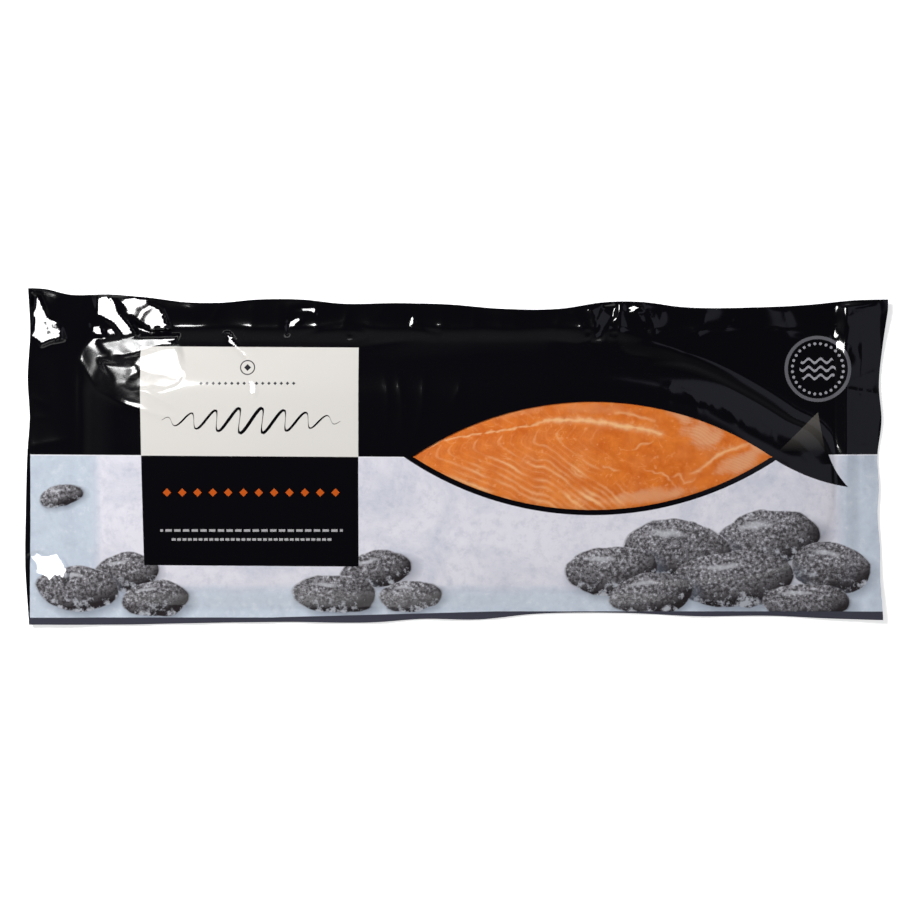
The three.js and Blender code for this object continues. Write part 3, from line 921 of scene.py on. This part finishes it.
speck = Field(tree, texture(tree, "ShaderNodeTexNoise", 430, place, Detail=3, Roughness=0.6).outputs["Fac"])
tone = (lit + (haze_cloud - 0.5) * 0.9).ramp(-0.15, 0.95)
stone_colour = mix_colour(tree, tone.value, STONE_DARK, STONE_LIGHT)
pits = speck.ramp(0.50, 0.58) * 0.75
stone_colour = mix_colour(tree, pits.value, stone_colour, STONE_PIT)
pale_grains = speck.ramp(0.43, 0.36) * lit.ramp(0.1, 0.7)
stone_colour = mix_colour(tree, pale_grains.value, stone_colour, STONE_GRAIN)
wet = ((side + 0.22) * 0.9).reach((rise - 0.50) * 2.6) + (frost - 0.5) * 0.5
stone_colour = mix_colour(tree, (wet.ramp(0.36, 0.12) * 0.6).value, stone_colour, STONE_WET)
frosted = (frost + rise * 0.16).ramp(0.40, 0.28) * 0.7
stone_colour = mix_colour(tree, frosted.value, stone_colour, STONE_FROST)
ice = mix_colour(tree, stone.value, ice, stone_colour)
ice = mix_colour(tree, (shade * 0.55).value, ice, STONE_SHADE)

# Where the ice lies: below the middle, above a dark strip, and outside the window's black line. A
# faint brown triangle lies over the black at its right end.
tilt = (x + 10.0).size() * 0.0065
foot = x.ramp(-140.0, 30.0) * 4.6 - 120.2
line_radius = arc_radius(WINDOW_DROP) + 3.9
from_arc = (x - WINDOW_CENTRE[0]).reach(y - (WINDOW_CENTRE[1] + arc_radius(WINDOW_DROP) - WINDOW_DROP))
wedge = ((x - 313.6).reach(y - 120.0) - 144.0).most((x - 338.0).reach(y - 21.9).under(63.5))
ice_field = (tilt - 0.1 - y).least(y - foot, x + 319.5, from_arc - line_radius, wedge)
colour = mix_colour(tree, (foot - y).ink(0.5).value, INK_BLACK, STRIP_NAVY)
ice = mix_colour(tree, (y - tilt + 0.9).ink().value, ice, ICE_RULE)
colour = mix_colour(tree, ice_field.ink().value, colour, ice)
sail = ((x - 242.4) * 0.692 - (y - 6.8) * 0.723).least((x - 270.3) * -0.987 - (y - 33.5) * 0.164)
colour = mix_colour(tree, (sail.ink() * y.ramp(4.0, 26.0) * 0.9).value, colour, SAIL_BROWN)

# Panels: cream above with a wave, a ring and beads, and black below with diamonds and dashes
slant = (y * -0.018) - 234.8
panel = (x - slant).least(x * -1.0 - 73.3, tilt + 81.15 - y, y - tilt + 82.15)
colour = mix_colour(tree, panel.ink().value, colour, INK_BLACK)
colour = mix_colour(tree, panel.least(y - tilt + 0.4).ink().value, colour, CREAM)
PANEL_MIDDLE = -153.0
WAVE_Y = 27.0
WAVE_HALF = 67.0
WAVE_LENGTH = 17.0
mid_x = x - PANEL_MIDDLE
taper = mid_x.size().under(WAVE_HALF).most(0.0) / WAVE_HALF
swing = taper.math("SQRT") * 9.5
slanted = mid_x - (y - WAVE_Y) * 0.45
curl = slanted.wave(WAVE_LENGTH)
lean = (slanted + WAVE_LENGTH / 4).wave(WAVE_LENGTH)
steepness = (lean * swing * 0.37) * (lean * swing * 0.37)
across = (y - WAVE_Y - curl * swing).size() / (steepness + 1.0).math("SQRT")
stroke = (lean * 0.75 + 1.0) * taper.math("SQRT") - across
colour = mix_colour(tree, stroke.least(taper * 50.0 - 0.5).ink().value, colour, INK_BLACK)
CREST_Y = 66.6
crest_x = mid_x + 2.8
crest_ring = (crest_x.reach(y - CREST_Y) - 5.2).size().under(0.4)
crest = crest_ring.most((crest_x.size() + (y - CREST_Y).size()).under(2.6))
colour = mix_colour(tree, crest.ink().value, colour, CREST_INK)
bead = (crest_x.repeat(4.6).size() + (y - 54.7).size()).under(1.3).least(crest_x.size().under(37.0))
colour = mix_colour(tree, bead.ink().value, colour, BEAD_INK)
gem = (mid_x.repeat(11.4).size() + (y + 26.4).size()).under(3.1).least(mid_x.size().under(68.4))
colour = mix_colour(tree, gem.ink().value, colour, ORANGE)
for height, half, dash in ((-54.7, 68.0, 6.5), (-61.4, 60.0, 4.0)):
    dashes = mid_x.repeat(dash).size().under(dash * 0.36).least((y - height).size().under(0.9))
    colour = mix_colour(tree, dashes.least(mid_x.size().under(half)).ink().value, colour, PALE)

# Round mark at the right: a ring, a ring of dots and three waves
SEAL_CENTRE = (270.0, 66.0)
SEAL_RADIUS = 23.5
DOT_RADIUS = 18.9
DOT_COUNT = 28
seal_x = x - SEAL_CENTRE[0]
seal_y = y - SEAL_CENTRE[1]
radius = seal_x.reach(seal_y)
ring = (radius - SEAL_RADIUS).size().under(1.25)
turn = seal_y.math("ARCTAN2", seal_x)
mark = (turn.repeat(2 * np.pi / DOT_COUNT) * DOT_RADIUS).reach(radius - DOT_RADIUS).under(1.1)
for height in (-6.0, 0.0, 6.0):
    swell = (seal_y - height - seal_x.wave(9.0) * 1.5).size().under(1.0)
    mark = mark.most(swell.least(radius.under(13.5)))
colour = mix_colour(tree, ring.ink(0.4).value, colour, SEAL_GREY)
colour = mix_colour(tree, mark.ink().value, colour, SEAL_PALE)
tree.links.new(colour, shader.inputs["Base Color"])

# Gloss: milky over the fish's shoulder, where the film is finely wrinkled
wrinkled = ((x + 240.0) / 40.0).reach((y - 70.0) / 27.0).under(1.0).ramp(0.0, 0.3)
wrinkle_noise = texture(tree, "ShaderNodeTexNoise", 85, place, Detail=3, Distortion=1.0)
wrinkles = Field(tree, wrinkle_noise.outputs["Fac"])
rough = wrinkled * wrinkles.ramp(0.3, 0.7) * 0.22 + 0.1
tree.links.new(rough.value, shader.inputs["Roughness"])

# Back: plain black film, a little cloudy
plain = pouch.data.materials[1]
plain.use_nodes = True
shader = plain.node_tree.nodes["Principled BSDF"]
shader.inputs["Roughness"].default_value = 0.16
shader.inputs["IOR"].default_value = 1.5
place = plain.node_tree.nodes.new("ShaderNodeTexCoord").outputs["Object"]
cloud = texture(plain.node_tree, "ShaderNodeTexNoise", 30, place, Detail=4)
colour = mix_colour(plain.node_tree, cloud.outputs["Fac"], BACK_INK, BACK_CLOUD)
plain.node_tree.links.new(colour, shader.inputs["Base Color"])
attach(pouch, "root")
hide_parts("pouch")


# Window: the unprinted field of the same film, so it is clear and the fish shows through it. Its mesh
# is the eye-shaped field that was parted from the front above, and it stays flush with the print.
clear_film = bpy.data.materials.new("clear_film")
clear_film.use_nodes = True
tree = clear_film.node_tree
tree.nodes.remove(tree.nodes["Principled BSDF"])
gloss = tree.nodes.new("ShaderNodeBsdfGlossy")
gloss.inputs["Roughness"].default_value = 0.14
through = tree.nodes.new("ShaderNodeBsdfTransparent")
bounce = tree.nodes.new("ShaderNodeFresnel")
bounce.inputs["IOR"].default_value = 1.4
facing_back = Field(tree, tree.nodes.new("ShaderNodeNewGeometry").outputs["Backfacing"])
outer = facing_back.under(1.0) * Field(tree, bounce.outputs[0])
blend = tree.nodes.new("ShaderNodeMixShader")
tree.links.new(outer.value, blend.inputs[0])
tree.links.new(through.outputs[0], blend.inputs[1])
tree.links.new(gloss.outputs[0], blend.inputs[2])
tree.links.new(blend.outputs[0], tree.nodes["Material Output"].inputs["Surface"])
pane.data.materials.append(clear_film)
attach(pane, "root")
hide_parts("window_film")


# Studio: a pale floor, a soft box high at the upper left, weaker ones at the right and below,
# and a room that is dark straight above and pale towards the horizon.
bpy.ops.object.select_all(action="DESELECT")
bpy.ops.mesh.primitive_plane_add(size=9, location=(0, 0, -0.0005))
floor = bpy.context.object
floor.name = "floor"
floor_paint = bpy.data.materials.new("pale_floor")
floor_paint.use_nodes = True
floor_shader = floor_paint.node_tree.nodes["Principled BSDF"]
floor_shader.inputs["Base Color"].default_value = (0.93, 0.93, 0.93, 1)
floor_shader.inputs["Emission Color"].default_value = (1, 1, 1, 1)
floor_shader.inputs["Emission Strength"].default_value = 0.6
floor_shader.inputs["Roughness"].default_value = 0.9
floor_shader.inputs["Specular IOR Level"].default_value = 0.1
floor.data.materials.append(floor_paint)

# Lamps: name, place, size, power and tint
for name, spot, size, watts, tint in (
    ("key", (-0.72, 0.66, 1.45), (0.47, 0.47), 28.0, (1, 1, 1)),
    ("sheen", (0.95, 0.70, 1.25), (0.8, 0.8), 0.8, (0.78, 0.82, 1)),
    ("right_fill", (1.03, -0.1, 1.42), (0.6, 1.2), 0.8, (0.78, 0.82, 1)),
    ("front_fill", (0.2, -1.5, 0.95), (2.2, 1.0), 8, (1, 1, 1)),
):
    data = bpy.data.lights.new(name, "AREA")
    data.shape = "RECTANGLE"
    data.size, data.size_y = size
    data.energy = watts
    data.color = tint
    lamp = bpy.data.objects.new(name, data)
    bpy.context.collection.objects.link(lamp)
    lamp.location = spot
    lamp.rotation_euler = lamp.location.to_track_quat("Z", "Y").to_euler()

world = bpy.data.worlds.new("room")
bpy.context.scene.world = world
world.use_nodes = True
tree = world.node_tree
way = tree.nodes.new("ShaderNodeTexCoord").outputs["Generated"]
split = tree.nodes.new("ShaderNodeSeparateXYZ")
tree.links.new(way, split.inputs[0])
height = Field(tree, split.outputs["Z"]).ramp(0.64, 0.28)
strength = height * 0.13 + 0.022
tree.links.new(strength.value, tree.nodes["Background"].inputs["Strength"])
tree.nodes["Background"].inputs["Color"].default_value = (0.97, 0.98, 1.0, 1)

CAMERA_HEIGHT = 2.52
camera_data = bpy.data.cameras.new("camera")
camera_data.sensor_width = 36
camera_data.lens = 132.4
camera = bpy.data.objects.new("camera", camera_data)
bpy.context.collection.objects.link(camera)
camera.location = (0, 0, CAMERA_HEIGHT)
bpy.context.scene.camera = camera
bpy.context.scene.view_settings.view_transform = "Standard"
